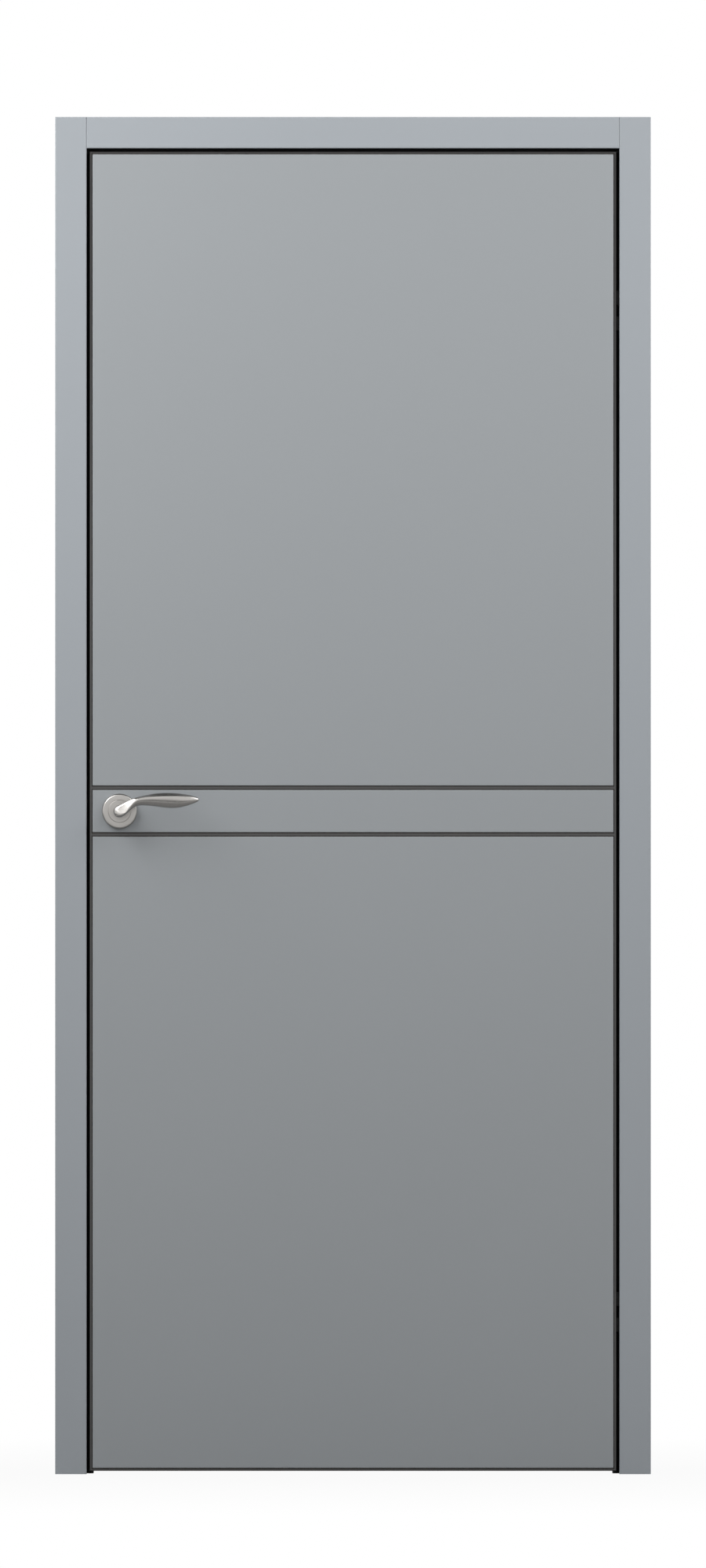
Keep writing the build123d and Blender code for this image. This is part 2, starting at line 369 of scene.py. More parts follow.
def make_turned_nickel():
    material, tree, shader = new_finish("turned nickel", Base_Color=NICKEL, Metallic=1.0)
    place = add_node(tree, "ShaderNodeTexCoord")
    offset = add_node(tree, "ShaderNodeVectorMath", {"operation": "SUBTRACT"})
    offset.inputs[1].default_value = handle_axis
    flat = add_node(tree, "ShaderNodeVectorMath", {"operation": "MULTIPLY"})
    flat.inputs[1].default_value = (1, 0, 1)
    reach = add_node(tree, "ShaderNodeVectorMath", {"operation": "LENGTH"})
    lines = add_node(
        tree, "ShaderNodeTexNoise", {"noise_dimensions": "1D"}, Scale=TURNED_LINES_A_METRE, Detail=3.0
    )
    rough = add_node(
        tree, "ShaderNodeMapRange",
        From_Min=0.2, From_Max=0.8, To_Min=TURNED_SMOOTHEST, To_Max=TURNED_ROUGHEST,
    )
    bump = add_node(tree, "ShaderNodeBump", Strength=TURNED_STRENGTH, Distance=LINE_DEPTH)
    join(
        tree,
        place.outputs["Object"], offset.inputs[0],
        offset.outputs["Vector"], flat.inputs[0],
        flat.outputs["Vector"], reach.inputs[0],
        reach.outputs["Value"], lines.inputs["W"],
        lines.outputs["Fac"], rough.inputs["Value"],
        rough.outputs["Result"], shader.inputs["Roughness"],
        lines.outputs["Fac"], bump.inputs["Height"],
        bump.outputs["Normal"], shader.inputs["Normal"],
    )
    return material


turned_nickel = make_turned_nickel()
print("turned finish about", [round(v, 4) for v in handle_axis])

# %% [markdown]
# Rubber, moulded plastic and black coats have a fine grain with no direction, and rubber and board are
# patchy too. One group gives a grain height and a cloudy colour between two given ones.

# %% Group: moulded grain
def make_moulded_grain():
    group, given, out = new_group(
        "moulded grain",
        {
            "Dark": ("Color", (0.01, 0.01, 0.01, 1)),
            "Light": ("Color", (0.03, 0.03, 0.03, 1)),
            "Grain": ("Float", 900.0),
            "Cloud": ("Float", 30.0),
            "Roughness": ("Float", 0.6),
        },
        {"Colour": "Color", "Roughness": "Float", "Height": "Float"},
    )
    place = add_node(group, "ShaderNodeTexCoord")
    grain = add_node(group, "ShaderNodeTexNoise", Detail=2.0)
    cloud = add_node(group, "ShaderNodeTexNoise", Detail=5.0, Roughness=0.65)
    patch = add_node(group, "ShaderNodeMapRange", From_Min=0.35, From_Max=0.7)
    blend = add_node(group, "ShaderNodeMix", {"data_type": "RGBA"})
    worn = add_node(group, "ShaderNodeMath", {"operation": "MULTIPLY_ADD"})
    worn.inputs[1].default_value = 0.1
    join(
        group,
        place.outputs["Object"], grain.inputs["Vector"],
        place.outputs["Object"], cloud.inputs["Vector"],
        given["Grain"], grain.inputs["Scale"],
        given["Cloud"], cloud.inputs["Scale"],
        cloud.outputs["Fac"], patch.inputs["Value"],
        patch.outputs["Result"], blend.inputs["Factor"],
        given["Dark"], blend.inputs["A"],
        given["Light"], blend.inputs["B"],
        patch.outputs["Result"], worn.inputs[0],
        given["Roughness"], worn.inputs[2],
        blend.outputs["Result"], out["Colour"],
        worn.outputs["Value"], out["Roughness"],
        grain.outputs["Fac"], out["Height"],
    )
    return group


moulded_grain = make_moulded_grain()
print("made", moulded_grain.name)

# %% [markdown]
# From that one grain come the rubber of the seals, the plastic of the latch, the black coat of the hinges
# and the board inside the leaf, which shows only at the bottom of the fine grooves.

# %% Rubber, plastic, coat and board
GRAIN_STRENGTH = 0.25
BOARD_DARK = (0.07, 0.05, 0.035, 1)
BOARD_LIGHT = (0.16, 0.12, 0.08, 1)


def make_grained(name, depth, **look):
    """A finish with the moulded grain; look holds the group's own sockets."""
    material, tree, shader = new_finish(name)
    skin = use_group(tree, moulded_grain, **look)
    lay_skin(tree, shader, skin, GRAIN_STRENGTH, depth)
    return material


def cool_grey(level):
    return (level, level, level * 1.03, 1)


seal_rubber = make_grained(
    "seal rubber", 0.08 * MM,
    Dark=cool_grey(0.025), Light=cool_grey(0.04), Grain=1500, Cloud=25, Roughness=0.68,
)
latch_plastic = make_grained(
    "latch plastic", 0.04 * MM,
    Dark=cool_grey(0.014), Light=cool_grey(0.02), Grain=2200, Cloud=60, Roughness=0.45,
)
hinge_coat = make_grained(
    "hinge coat", 0.03 * MM,
    Dark=cool_grey(0.012), Light=cool_grey(0.017), Grain=1200, Cloud=40, Roughness=0.4,
)
core_board = make_grained(
    "core board", 0.3 * MM,
    Dark=BOARD_DARK, Light=BOARD_LIGHT, Grain=350, Cloud=180, Roughness=0.8,
)
print("rubber, plastic, coat and board made")

# %% [markdown]
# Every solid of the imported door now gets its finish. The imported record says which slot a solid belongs
# to, and a table from slot to finish does the rest. Trims need one more look at their direction.

# %% Give every solid its finish
SLOT_FINISH = {
    "grey_lacquer": leaf_lacquer,
    "frame_lacquer": casing_lacquer,
    "core_board": core_board,
    "black_trim": level_trim,
    "black_seal": seal_rubber,
    "satin_nickel": plate_nickel,
    "hinge_metal": hinge_coat,
    "black_plastic": latch_plastic,
}
UPRIGHT_TRIMS = ("lock_edge_trim", "hinge_edge_trim")
node_slot = {row["node"]: row["material_slot"] for row in frame["record"]["subparts"]}
for name, solid in nodes.items():
    finish = upright_trim if name in UPRIGHT_TRIMS else SLOT_FINISH[node_slot[name]]
    solid.data.materials.clear()
    solid.data.materials.append(finish)
print("finished", len(nodes), "solids")

# %% [markdown]
# Fine parts are meshes of our own. Each one is made from points and faces, gets a finish, and rides on
# the body that carries it on the real door. Smooth shading with an angle limit keeps flat faces flat.

# %% Helpers for new pieces
SMOOTH_LIMIT = math.radians(35)


def to_mesh(name, build):
    """A mesh with outward faces from what is built in a bmesh."""
    bmesh.ops.recalc_face_normals(build, faces=build.faces)
    mesh = bpy.data.meshes.new(name)
    build.to_mesh(mesh)
    build.free()
    return mesh


def new_piece(name, mesh, finish, body, slot, *stands_for):
    piece = bpy.data.objects.new(name, mesh)
    bpy.context.scene.collection.objects.link(piece)
    mesh.materials.append(finish)
    mesh.shade_smooth()
    mesh.set_sharp_from_angle(angle=SMOOTH_LIMIT)
    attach(piece, body)
    if stands_for:
        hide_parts(*stands_for)
    return piece


def join_loops(build, lower, upper):
    """Faces between two closed loops with as many points each."""
    for step in range(len(lower)):
        neighbour = (step + 1) % len(lower)
        build.faces.new((lower[step], lower[neighbour], upper[neighbour], upper[step]))


def loop_edges(build, loop):
    """The edges that faces have already made along a closed loop."""
    return [build.edges.get((loop[step], loop[step - 1])) for step in range(len(loop))]


print("piece helpers ready")

# %% [markdown]
# The rose is the round plate behind the lever: a flat face with one fine turned ring, a rounded rim and a
# hole for the lever's post. It could be a cylinder with bevels and cuts, but like the real one it is
# easier to turn, so we draw half of its section. The rim is a quarter of an ellipse.

# %% Section of a rose
ROSE_RADIUS = 26.5
ROSE_HEIGHT = 9.0
RIM_WIDTH = 2.6
RIM_DEPTH = 3.4
RIM_STEPS = 10
RING_RADIUS = 17.0
RING_HALF_WIDTH = 0.35
RING_DEPTH = 0.28
BORE_RADIUS = 9.15
BORE_START = 0.5
BORE_CHAMFER = 0.2
FOOT_CHAMFER = 0.4


def rose_outline():
    """Points (radius, height) from the bore over the face and the rim to the foot."""
    points = [
        (BORE_RADIUS, BORE_START),
        (BORE_RADIUS, ROSE_HEIGHT - BORE_CHAMFER),
        (BORE_RADIUS + BORE_CHAMFER, ROSE_HEIGHT),
        (RING_RADIUS - RING_HALF_WIDTH, ROSE_HEIGHT),
        (RING_RADIUS, ROSE_HEIGHT - RING_DEPTH),
        (RING_RADIUS + RING_HALF_WIDTH, ROSE_HEIGHT),
    ]
    for step in range(RIM_STEPS + 1):
        turn = math.radians(90) * step / RIM_STEPS
        radius = ROSE_RADIUS - RIM_WIDTH * (1 - math.sin(turn))
        points.append((radius, ROSE_HEIGHT - RIM_DEPTH * (1 - math.cos(turn))))
    return points + [(ROSE_RADIUS, FOOT_CHAMFER), (ROSE_RADIUS - FOOT_CHAMFER, 0.0)]


print("rose section has", len(rose_outline()), "points")

# %% [markdown]
# Now the section is swept round the handle's axis, once on each face of the leaf. A place on the leaf is
# measured from that axis and out from the face, so the same drawing serves both sides.

# %% Roses
ROUND_STEPS = 128


def on_leaf(along, up, out, side):
    """A place in millimetres from the handle's axis and out from the leaf's front or back face."""
    face, outward = (leaf_face, -1) if side == "front" else (leaf_rear, 1)
    return (handle_axis[0] + along * MM, face + outward * out * MM, handle_axis[2] + up * MM)


def make_rose(side):
    build = bmesh.new()
    spokes = []
    for step in range(ROUND_STEPS):
        turn = math.tau * step / ROUND_STEPS
        spoke = [
            build.verts.new(on_leaf(radius * math.cos(turn), radius * math.sin(turn), height, side))
            for radius, height in rose_outline()
        ]
        spokes.append(spoke)
    for spoke, following in zip(spokes, spokes[1:] + spokes[:1]):
        join_loops(build, spoke, following)
    return to_mesh(side + "_rose_turned", build)


for side in ("front", "back"):
    rose_mesh = make_rose(side)
    new_piece(side + "_rose_turned", rose_mesh, turned_nickel, "leaf", "satin_nickel", side + "_rose")
    print(side, "rose has", len(rose_mesh.polygons), "faces")

# %% [markdown]
# The lever is a casting: a round post, a tight elbow, a slim neck and a swelling grip that ends in a point.
# One ridge runs over it all, from the underside of the neck across its front to the top of the grip, and
# that ridge parts the light from the dark. We lay eight-sided rings along it as a cage, crease the
# edges of the ridge a little, and let a subdivision surface round off the rest. At the elbow the rings
# fan out about its inner corner, so that they never cross.

# %% Stations of the lever
# Each station has its middle along, up and out in millimetres, its heading, pitch and roll in degrees,
# and from the middle its top, bottom, front and back. The ridge is a share of the half height, the facet
# says how far its upper edge falls back, and roundness is 1 on the post and 0 on the grip.
LEVER_STATIONS = (
    ((0, 0, 1), (32, 90, 0), (8.8, 8.8, 8.8, 8.8), 0.0, 0.0, 1.0),
    ((0, 0, 3), (32, 90, 0), (8.8, 8.8, 8.8, 8.8), 0.0, 0.0, 1.0),
    ((0, 0, 30), (32, 90, 0), (8.8, 8.8, 8.8, 8.8), 0.0, 0.0, 1.0),
    ((0, 0, 37), (32, 88, 0), (8.9, 8.9, 8.9, 8.8), -0.1, 0.0, 1.0),
    ((-0.2, -0.1, 46.3), (32, 55, 0), (9.2, 9.4, 11.6, 11.4), -0.5, 0.2, 0.7),
    ((5.0, 3.1, 47.6), (32, 37, 0), (8.7, 9.1, 7.35, 7.5), -0.8, 0.5, 0.25),
    ((8.1, 5.1, 47.7), (32, 24, 0), (8.0, 8.4, 6.2, 5.8), -0.72, 0.55, 0.0),
    ((13.2, 8.2, 48), (31, 9, 0), (7.0, 7.3, 5.5, 5.2), -0.42, 0.62, 0.0),
    ((20, 12, 48.3), (26, 2, 0), (6.2, 6.5, 5.4, 5.0), 0.1, 0.65, 0.0),
    ((28, 15, 48.5), (15, 1, 0), (6.2, 6.8, 5.6, 5.0), 0.62, 0.6, 0.0),
    ((38, 16.3, 48.7), (6, 0, 0), (7.0, 8.1, 6.0, 5.1), 0.62, 0.6, 0.0),
    ((52, 17, 48.9), (2, 0, 0), (9.0, 10.1, 6.5, 5.3), 0.54, 0.63, 0.0),
    ((66, 16.8, 49), (0, 0, 0), (10.1, 12.3, 6.8, 5.5), 0.54, 0.66, 0.0),
    ((79, 16.1, 49), (0, 0, 0), (10.8, 12.8, 6.8, 5.5), 0.58, 0.66, 0.0),
    ((92, 15.8, 48.8), (1, 0, 4), (10.0, 11.3, 6.2, 5.1), 0.62, 0.56, 0.0),
    ((104, 16.1, 48.4), (2, -1, 9), (8.1, 8.0, 5.0, 4.1), 0.61, 0.52, 0.0),
    ((114, 16.7, 48), (1, -2, 14), (5.5, 4.6, 3.4, 2.8), 0.58, 0.55, 0.0),
    ((120.6, 17.0, 47.8), (-1, -2, 16), (2.6, 1.9, 1.8, 1.4), 0.5, 0.6, 0.0),
)
print(len(LEVER_STATIONS), "stations")

# %% [markdown]
# A ring is drawn in its own plane, up and out from its middle. Its eight points are the top edge, a point
# between it and the ridge, the ridge, the belly, the underside and three round the back. On the post the
# same eight points lie on a circle, and a ring may be anything between the two.

# %% Outline of a ring
RIDGE_SHARE = 0.94
BELLY_SHARE = 0.5
UNDERSIDE_SHARE = 0.05
BACK_CORNER_UP = 0.65
BACK_CORNER_IN = 0.85
POINT_TURN = 45


def faceted_outline(reaches, ridge, facet):
    top, bottom, front, back = reaches
    ridge_up = ridge * (top if ridge > 0 else bottom)
    ridge_out = RIDGE_SHARE * front
    edge_out = ridge_out - facet * front
    return [
        (top, edge_out),
        ((top + ridge_up) / 2, (edge_out + ridge_out) / 2),
        (ridge_up, ridge_out),
        (ridge_up - BELLY_SHARE * (bottom + ridge_up), front),
        (-bottom, UNDERSIDE_SHARE * front),
        (-BACK_CORNER_UP * bottom, -BACK_CORNER_IN * back),
        (0, -back),
        (BACK_CORNER_UP * top, -BACK_CORNER_IN * back),
    ]


def ring_outline(reaches, ridge, facet, roundness):
    """Eight points (up, out) round a station, from its top over the front, underside and back."""
    top, bottom, front, back = reaches
    outline = []
    for step, (up, out) in enumerate(faceted_outline(reaches, ridge, facet)):
        turn = math.radians(90 - POINT_TURN * step)
        round_up = math.sin(turn) * (top if math.sin(turn) > 0 else bottom)
        round_out = math.cos(turn) * (front if math.cos(turn) > 0 else back)
        outline.append((up + roundness * (round_up - up), out + roundness * (round_out - out)))
    return outline


print("a ring has", len(ring_outline(*LEVER_STATIONS[-1][2:])), "points")

# %% [markdown]
# Each ring is then turned by the heading, the pitch and the roll, and set at its place. A rounded form
# shrinks away from its cage, so the rings are swollen a little beforehand.

# %% Set a ring in its place
CAGE_SWELL = 1.1


def lay_ring(build, station, side):
    (along, up, out), turns, *shape = station
    turn, rise, roll = [math.radians(angle) for angle in turns]
    level = Vector((-math.sin(turn), math.cos(turn), 0))
    facing = Vector((-math.sin(rise) * math.cos(turn), -math.sin(rise) * math.sin(turn), math.cos(rise)))
    upward = level * math.cos(roll) - facing * math.sin(roll)
    outward = facing * math.cos(roll) + level * math.sin(roll)
    ring = []
    for ring_up, ring_out in ring_outline(*shape):
        place = Vector((along, up, out)) + CAGE_SWELL * (ring_up * upward + ring_out * outward)
        ring.append(build.verts.new(on_leaf(*place, side)))
    return ring


print("rings swollen", CAGE_SWELL, "times")

# %% [markdown]
# The rings are joined into a closed cage. Its creases grow from nothing at the elbow, so that the ridge
# rises gently out of the round post. The subdivision surface stays a modifier on the cage, so that the
# shape can still be changed by a few points.

# %% Levers
EDGE_POINT = 0
EDGE_CREASE = 0.45
RIDGE_POINT = 2
RIDGE_CREASE = 0.7
FIRST_CREASED = 4
FULLY_CREASED = 9
ROUNDING_LEVELS = 3


def crease_ridge(build, crease, rings):
    """Creases along the grip's top edge and its ridge, full from one ring on."""
    for number in range(FIRST_CREASED, len(rings) - 1):
        ring, following = rings[number], rings[number + 1]
        growth = min(1, (number - FIRST_CREASED) / (FULLY_CREASED - FIRST_CREASED))
        top_edge = build.edges.get((ring[EDGE_POINT], following[EDGE_POINT]))
        top_edge[crease] = EDGE_CREASE * growth
        ridge = build.edges.get((ring[RIDGE_POINT], following[RIDGE_POINT]))
        ridge[crease] = RIDGE_CREASE * math.sqrt(growth)


def make_lever(side):
    build = bmesh.new()
    crease = build.edges.layers.float.new("crease_edge")
    rings = [lay_ring(build, station, side) for station in LEVER_STATIONS]
    for ring, following in zip(rings, rings[1:]):
        join_loops(build, ring, following)
    build.faces.new(rings[0])
    build.faces.new(rings[-1])
    crease_ridge(build, crease, rings)
    return to_mesh(side + "_lever_cast", build)


for side in ("front", "back"):
    lever_mesh = make_lever(side)
    lever = new_piece(
        side + "_lever_cast", lever_mesh, lever_nickel, "lever_set", "satin_nickel", side + "_lever"
    )
    rounding = lever.modifiers.new("rounding", "SUBSURF")
    rounding.levels = ROUNDING_LEVELS
    rounding.render_levels = ROUNDING_LEVELS
    print(side, "lever cage has", len(lever_mesh.polygons), "faces")

# %% [markdown]
# Real fixings show up close, so the plates and hinge cups get their screws: a low domed head with a cross
# recess. A cross cut into a face is awkward with boolean tools and easy by hand: fill between a circle
# and a cross outline, then pull the cross down into a tapering pit. Both outlines are shares of the
# head's radius.

# %% Outlines of a screw head
SCREW_STEPS = 24
CROSS_REACH = 0.56
CROSS_HALF_WIDTH = 0.16


def circle_outline():
    turns = [math.tau * step / SCREW_STEPS for step in range(SCREW_STEPS)]
    return [(math.cos(turn), math.sin(turn)) for turn in turns]


def cross_outline():
    reach, half = CROSS_REACH, CROSS_HALF_WIDTH
    points = []
    for quarter in range(4):
        turn = math.radians(90 * quarter)
        cosine, sine = math.cos(turn), math.sin(turn)
        for x, y in ((reach, -half), (reach, half), (half, half)):
            points.append((x * cosine - y * sine, x * sine + y * cosine))
    return points


print("the cross has", len(cross_outline()), "points")

# %% [markdown]
# Every screw is the same, so one function makes them. Three circles give the dome, and two crosses give
# the pit. What is left open between the last circle and the first cross is filled with triangles.

# %% Screw heads
SCREW_HEIGHT = 0.5 * MM
HEAD_SEGMENTS = ((1.0, 0.0), (0.94, 0.55), (0.78, 0.85))
PIT_DEPTH = 0.6
PIT_TAPER = 0.6


def make_screw(name, middle, facing, radius):
    """A screw head whose rim lies at middle; facing is +1 or -1 along the width of the door."""
    build = bmesh.new()

    def lay_loop(outline, share, rise):
        """An outline at a share of the head's radius and of its height."""
        size = radius * share
        out = facing * SCREW_HEIGHT * rise
        return [
            build.verts.new((middle.x + out, middle.y + size * across, middle.z + size * up))
            for across, up in outline
        ]

    circles = [lay_loop(circle_outline(), share, rise) for share, rise in HEAD_SEGMENTS]
    crown = lay_loop(cross_outline(), 1.0, 1.0)
    pit = lay_loop(cross_outline(), PIT_TAPER, 1 - PIT_DEPTH)
    for lower, upper in (*zip(circles, circles[1:]), (crown, pit)):
        join_loops(build, lower, upper)
    build.faces.new(pit)
    build.faces.new(circles[0])
    top_edges = loop_edges(build, circles[-1]) + loop_edges(build, crown)
    bmesh.ops.triangle_fill(build, edges=top_edges, use_beauty=True)
    return to_mesh(name, build)


print("screw heads ready")

# %% [markdown]
# Where the screws go follows from the plates: two in each, near its ends. The box of each packed plate
# gives its middle, its height and the face that looks into the gap, and a screw takes the plate's finish.

# %% Screws of the plates and hinge cups
STRIKE_SCREW_RADIUS = 3.6 * MM
LATCH_SCREW_RADIUS = 3.4 * MM
CUP_SCREW_RADIUS = 4.0 * MM
PLATE_SCREW_INSET = 14.0 * MM
CUP_SCREW_INSET = 11.0 * MM

screwed_plates = [
    ("strike_plate", "frame", 1, STRIKE_SCREW_RADIUS, PLATE_SCREW_INSET),
    ("latch_faceplate", "leaf", -1, LATCH_SCREW_RADIUS, PLATE_SCREW_INSET),
]
for body, facing in (("frame", -1), ("leaf", 1)):
    for level in ("lower", "upper"):
        cup = f"{level}_hinge_{body}_cup"
        screwed_plates.append((cup, body, facing, CUP_SCREW_RADIUS, CUP_SCREW_INSET))
for plate, body, facing, radius, inset in screwed_plates:
    low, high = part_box(plate)
    face_x = high.x if facing > 0 else low.x
    slot = node_slot[plate]
    for end, height in (("low", low.z + inset), ("high", high.z - inset)):
        screw_name = f"{plate}_screw_{end}"
        middle = Vector((face_x, (low.y + high.y) / 2, height))
        screw_mesh = make_screw(screw_name, middle, facing, radius)
        new_piece(screw_name, screw_mesh, SLOT_FINISH[slot], body, slot)
print("screwed", len(screwed_plates), "plates")

# %% [markdown]
# The seals are rubber strips with a hollow bulb that the leaf presses. A bulb like that is an extrusion,
# so we draw its section once, with the hole inside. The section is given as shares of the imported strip's
# width and depth, so it fills the same space.

# %% Section of a seal
BULB_STEPS = 20
SEAL_BASE = 0.3
BULB_START = 0.12
BULB_END = 0.88
BULB_WALL = 0.16
bulb_middle = (BULB_START + BULB_END) / 2
bulb_reach = (BULB_END - BULB_START) / 2


def seal_outline():
    """Points (across, out) of the strip's skin: a flat base with a half-round bulb on it."""
    points = [(1.0, 0.0), (1.0, SEAL_BASE)]
    for step in range(BULB_STEPS + 1):
        turn = math.pi * step / BULB_STEPS
        out = SEAL_BASE + (1 - SEAL_BASE) * math.sin(turn)
        points.append((bulb_middle + bulb_reach * math.cos(turn), out))
    return points + [(0.0, SEAL_BASE), (0.0, 0.0)]


def seal_hollow():
    """Points (across, out) of the round hole inside the bulb."""
    reach = bulb_reach - BULB_WALL / 2
    height = 1 - SEAL_BASE - BULB_WALL
    points = []
    for step in range(BULB_STEPS):
        turn = math.tau * step / BULB_STEPS
        out = SEAL_BASE + height / 2 + height / 2 * math.sin(turn)
        points.append((bulb_middle + reach * math.cos(turn), out))
    return points


print("seal section has", len(seal_outline()) + len(seal_hollow()), "points")

# %% [markdown]
# Now the section runs along each side of the opening. Skin and hole are each joined from end to end, and
# the ring that is left open at each end is filled with triangles, so the strip is a closed tube.

# %% Seals
SEAL_RUNS = (("lock_seal", "upright"), ("hinge_seal", "upright"), ("head_seal", "level"))


def make_seal(name, run):
    """A strip along the door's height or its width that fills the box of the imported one."""
    low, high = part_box(name)

    def place(across, out, along):
        depth = high.y + out * (low.y - high.y)
        if run == "upright":
            return (low.x + across * (high.x - low.x), depth, low.z + along * (high.z - low.z))
        return (low.x + along * (high.x - low.x), depth, low.z + across * (high.z - low.z))

    build = bmesh.new()
    end_edges = ([], [])
    for outline in (seal_outline(), seal_hollow()):
        ends = []
        for along in (0, 1):
            ends.append([build.verts.new(place(across, out, along)) for across, out in outline])
        join_loops(build, *ends)
        for edges, loop in zip(end_edges, ends):
            edges.extend(loop_edges(build, loop))
    for edges in end_edges:
        bmesh.ops.triangle_fill(build, edges=edges, use_beauty=True)
    return to_mesh(name + "_bulb", build)


for seal, run in SEAL_RUNS:
    seal_mesh = make_seal(seal, run)
    new_piece(seal + "_bulb", seal_mesh, seal_rubber, "frame", "black_seal", seal)
    print(seal, "has", len(seal_mesh.polygons), "faces")

# %% [markdown]
# The latch bolt sits in the edge of the leaf and shows when the leaf is open. It is a moulded block with
# rounded edges and a groove down its middle. Its section, grooved on the side that looks out, is drawn
# and raised to the bolt's height, and a bevel rounds the edges.

# %% Latch bolt
BOLT_ROUNDING = 0.4 * MM
BEVEL_STEPS = 3
GROOVE_SHARE = 0.16
GROOVE_DEPTH = 1.5 * MM


def soften(piece, width):
    """Round the sharp edges of a moulded piece."""
    soft_edge = piece.modifiers.new("soft edge", "BEVEL")
    soft_edge.width = width
    soft_edge.segments = BEVEL_STEPS
    soft_edge.limit_method = "ANGLE"


def make_bolt():
    low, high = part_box("latch_bolt")
    middle = (low.y + high.y) / 2
    half_groove = GROOVE_SHARE * (high.y - low.y) / 2
    section = [
        (low.x, low.y),
        (low.x, middle - half_groove),
        (low.x + GROOVE_DEPTH, middle - half_groove / 2),
        (low.x + GROOVE_DEPTH, middle + half_groove / 2),
        (low.x, middle + half_groove),
        (low.x, high.y),
        (high.x, high.y),
        (high.x, low.y),
    ]
    build = bmesh.new()
    ends = [[build.verts.new((x, y, z)) for x, y in section] for z in (low.z, high.z)]
    join_loops(build, *ends)
    for loop in ends:
        build.faces.new(loop)
    return to_mesh("latch_bolt_moulded", build)


bolt = new_piece("latch_bolt_moulded", make_bolt(), latch_plastic, "leaf", "black_plastic", "latch_bolt")
soften(bolt, BOLT_ROUNDING)
print("bolt has", len(bolt.data.polygons), "faces before rounding")

# %% [markdown]
# The keeper is the box behind the strike plate. It is open, because the bolt shoots into it. We take a
# block of its size, inset the face that looks out of the jamb, and push the middle of that face back
# until only thin walls are left.

# %% Keeper box
KEEPER_WALL = 1.2 * MM
KEEPER_ROUNDING = KEEPER_WALL / 3


def make_keeper():
    low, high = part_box("strike_keeper")
    build = bmesh.new()
    bmesh.ops.create_cube(build, size=1.0)
    for corner in build.verts:
        corner.co = Vector(high[axis] if corner.co[axis] > 0 else low[axis] for axis in range(3))
    mouth = max(build.faces, key=lambda face: face.calc_center_median().x)
    bmesh.ops.inset_region(build, faces=[mouth], thickness=KEEPER_WALL)
    pit = bmesh.ops.extrude_face_region(build, geom=[mouth])
    floor_corners = [part for part in pit["geom"] if isinstance(part, bmesh.types.BMVert)]
    bmesh.ops.translate(build, verts=floor_corners, vec=(low.x - high.x + KEEPER_WALL, 0, 0))
    bmesh.ops.delete(build, geom=[mouth], context="FACES")
    return to_mesh("strike_keeper_box", build)


keeper = new_piece(
    "strike_keeper_box", make_keeper(), latch_plastic, "frame", "black_plastic", "strike_keeper"
)
soften(keeper, KEEPER_ROUNDING)
print("keeper has", len(keeper.data.polygons), "faces before rounding")

# %% [markdown]
# The stage is a pale floor that fades into a white background. A disc is enough, with the door at its
# middle. It lies a hair below the door's foot, so that the two faces don't fight for the same place.

# %% Floor disc
FLOOR_RADIUS = 2.4
FLOOR_DROP = 0.5 * MM
FLOOR_STEPS = 96

floor_rim = []
for step in range(FLOOR_STEPS):
    turn = math.tau * step / FLOOR_STEPS
    floor_rim.append((FLOOR_RADIUS * math.cos(turn), FLOOR_RADIUS * math.sin(turn), 0))
floor_mesh = bpy.data.meshes.new("floor")
floor_mesh.from_pydata(floor_rim, [], [range(FLOOR_STEPS)])
floor = bpy.data.objects.new("floor", floor_mesh)
floor.location = (door_middle, 0, -FLOOR_DROP)
bpy.context.scene.collection.objects.link(floor)
print("floor radius", FLOOR_RADIUS)

# %% [markdown]
# Floor and background have three jobs: they are white to the camera, they are what the metal mirrors, and
# they light the door. We could put up separate panels for each, but a ray knows what kind it is, and the
# Light Path node reads that, so one floor and one background can answer each kind in its own way.

# %% Kinds of rays
def ray_kinds(tree):
    """Two sockets: one is 1 for rays from the camera, one for rays that metal or glass sends on."""
    rays = add_node(tree, "ShaderNodeLightPath")
    mirrored = add_node(tree, "ShaderNodeMath", {"operation": "MAXIMUM"})
    join(
        tree,
        rays.outputs["Is Glossy Ray"], mirrored.inputs[0],
        rays.outputs["Is Transmission Ray"], mirrored.inputs[1],
    )
    return rays.outputs["Is Camera Ray"], mirrored.outputs["Value"]


print("ray kinds ready")

# %% [markdown]
# To the camera the floor glows almost white, and quite white at its rim, where the background takes over.
# In metal it is dark near the door and brighter further out, because a bright floor would wash out the
# underside of the lever. To all other light it is a plain grey.

# %% Floor finish
FLOOR_GREY = (0.18, 0.18, 0.18, 1)
FLOOR_ROUGHNESS = 0.8
FADE_END = FLOOR_RADIUS * 0.95
GLOW_START = 0.4
GLOW_NEAR = 0.94
SHEEN_START = 1.2
SHEEN_NEAR = 0.05
SHEEN_FAR = 0.6


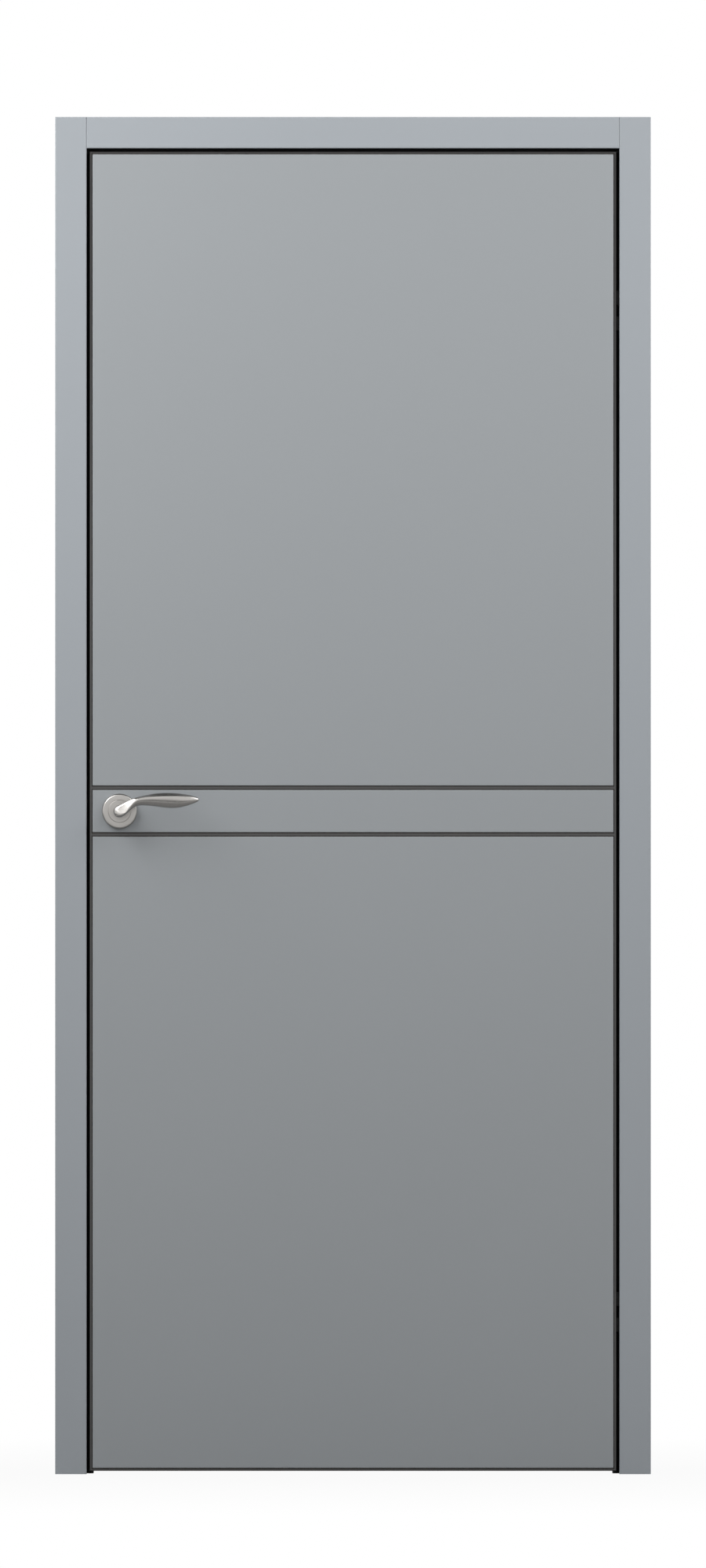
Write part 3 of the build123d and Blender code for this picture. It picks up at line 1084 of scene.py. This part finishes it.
def make_floor_finish():
    material, tree, shader = new_finish("floor", Base_Color=FLOOR_GREY, Roughness=FLOOR_ROUGHNESS)
    seen, mirrored = ray_kinds(tree)
    place = add_node(tree, "ShaderNodeTexCoord")
    reach = add_node(tree, "ShaderNodeVectorMath", {"operation": "LENGTH"})
    fade = add_node(
        tree, "ShaderNodeMapRange", From_Min=GLOW_START, From_Max=FADE_END, To_Min=GLOW_NEAR, To_Max=1.0
    )
    sheen = add_node(
        tree, "ShaderNodeMapRange",
        From_Min=SHEEN_START, From_Max=FADE_END, To_Min=SHEEN_NEAR, To_Max=SHEEN_FAR,
    )
    seen_share = add_node(tree, "ShaderNodeMath", {"operation": "MULTIPLY"})
    share = add_node(tree, "ShaderNodeMath", {"operation": "MULTIPLY_ADD"})
    glow = add_node(tree, "ShaderNodeEmission", Strength=1.0)
    mix = add_node(tree, "ShaderNodeMixShader")
    join(
        tree,
        place.outputs["Object"], reach.inputs[0],
        reach.outputs["Value"], fade.inputs["Value"],
        reach.outputs["Value"], sheen.inputs["Value"],
        fade.outputs["Result"], seen_share.inputs[0],
        seen, seen_share.inputs[1],
        sheen.outputs["Result"], share.inputs[0],
        mirrored, share.inputs[1],
        seen_share.outputs["Value"], share.inputs[2],
        share.outputs["Value"], mix.inputs[0],
        shader.outputs["BSDF"], mix.inputs[1],
        glow.outputs["Emission"], mix.inputs[2],
        mix.outputs["Shader"], tree.nodes["Material Output"].inputs["Surface"],
    )
    return material


floor_mesh.materials.append(make_floor_finish())
print("floor glow", GLOW_NEAR, "near the door")

# %% [markdown]
# The world behind the floor is white to the camera. For light that reaches the door it is a dim, even
# fill. Metal sees a studio: a bright band round the horizon, a black ceiling and a dark lower half, which
# is what draws the light and dark facets of the lever.

# %% Background
FILL = 0.48
WHITE = 1.0
STUDIO_BANDS = ((0.0, 0.1), (0.37, 0.15), (0.47, 1.0), (0.64, 1.0), (0.78, 0.05))


def add_studio_bands(tree):
    """A ramp of (height, level) stops, from 0 straight down to 1 straight up."""
    ramp = add_node(tree, "ShaderNodeValToRGB")
    stops = ramp.color_ramp.elements
    while len(stops) < len(STUDIO_BANDS):
        stops.new(0.5)
    for stop, (height, level) in zip(stops, STUDIO_BANDS):
        stop.position = height
        stop.color = (level, level, level, 1)
    return ramp


def make_sky(tree):
    seen, mirrored = ray_kinds(tree)
    place = add_node(tree, "ShaderNodeTexCoord")
    split = add_node(tree, "ShaderNodeSeparateXYZ")
    height = add_node(tree, "ShaderNodeMapRange", From_Min=-1.0, From_Max=1.0)
    bands = add_studio_bands(tree)
    to_metal = add_node(tree, "ShaderNodeMix", {"data_type": "FLOAT"}, A=FILL)
    to_camera = add_node(tree, "ShaderNodeMix", {"data_type": "FLOAT"}, B=WHITE)
    back = tree.nodes["Background"]
    set_inputs(back, {"Color": (1, 1, 1, 1)})
    join(
        tree,
        place.outputs["Generated"], split.inputs["Vector"],
        split.outputs["Z"], height.inputs["Value"],
        height.outputs["Result"], bands.inputs["Fac"],
        mirrored, to_metal.inputs["Factor"],
        bands.outputs["Color"], to_metal.inputs["B"],
        seen, to_camera.inputs["Factor"],
        to_metal.outputs["Result"], to_camera.inputs["A"],
        to_camera.outputs["Result"], back.inputs["Strength"],
    )


world = bpy.data.worlds.new("studio")
world.use_nodes = True
make_sky(world.node_tree)
bpy.context.scene.world = world
print("fill", FILL)

# %% [markdown]
# One large soft lamp hangs high on the left and close to the wall, because the picture's handle throws a
# long soft shadow down to the right. It is nearer to the top of the door than to the bottom, and that
# makes the grey fall off downwards. A wider and weaker one on the right keeps that side from going dull.
# A small one in front is there for the metal: it shows as the bright drop on the lever's elbow. A wide
# pair, at less power, hangs behind the door too, so that its other face can be looked at.

# %% Lamps
AIM_HEIGHT = 0.9
LAMP_ASIDE = 1.9
LAMP_HEIGHT = 2.8
KEY_AWAY = 1.2
KEY_SIZE = (2.2, 1.6)
WIDE_AWAY = 1.6
WIDE_SIZE = (2.6, 2.0)
HANDLE_LAMP_ASIDE = 1.05
HANDLE_LAMP_AWAY = 2.5
HANDLE_LAMP_HEIGHT = 2.1
HANDLE_LAMP_SIZE = (1.2, 0.7)


def add_lamp(name, place, aim, size, watts):
    data = bpy.data.lights.new(name, "AREA")
    data.shape = "RECTANGLE"
    data.size, data.size_y = size
    data.energy = watts
    lamp = bpy.data.objects.new(name, data)
    lamp.location = place
    lamp.rotation_euler = (Vector(aim) - Vector(place)).to_track_quat("-Z", "Y").to_euler()
    bpy.context.scene.collection.objects.link(lamp)
    print(name, watts, "watts")


left = door_middle - LAMP_ASIDE
right = door_middle + LAMP_ASIDE
front_aim = (door_middle, leaf_face, AIM_HEIGHT)
add_lamp("key lamp", (left, leaf_face - KEY_AWAY, LAMP_HEIGHT), front_aim, KEY_SIZE, watts=57)
add_lamp("side lamp", (right, leaf_face - WIDE_AWAY, LAMP_HEIGHT), front_aim, WIDE_SIZE, watts=50)
handle_lamp_place = (door_middle - HANDLE_LAMP_ASIDE, leaf_face - HANDLE_LAMP_AWAY, HANDLE_LAMP_HEIGHT)
add_lamp("handle lamp", handle_lamp_place, handle_axis, HANDLE_LAMP_SIZE, watts=4)
rear_aim = (door_middle, leaf_rear, AIM_HEIGHT)
add_lamp("rear key lamp", (right, leaf_rear + WIDE_AWAY, LAMP_HEIGHT), rear_aim, WIDE_SIZE, watts=46)
add_lamp("rear side lamp", (left, leaf_rear + WIDE_AWAY, LAMP_HEIGHT), rear_aim, WIDE_SIZE, watts=36)

# %% [markdown]
# The scene is complete: the door, its finishes, its fine parts, the stage and the lamps.

# %% Done
print("scene built")
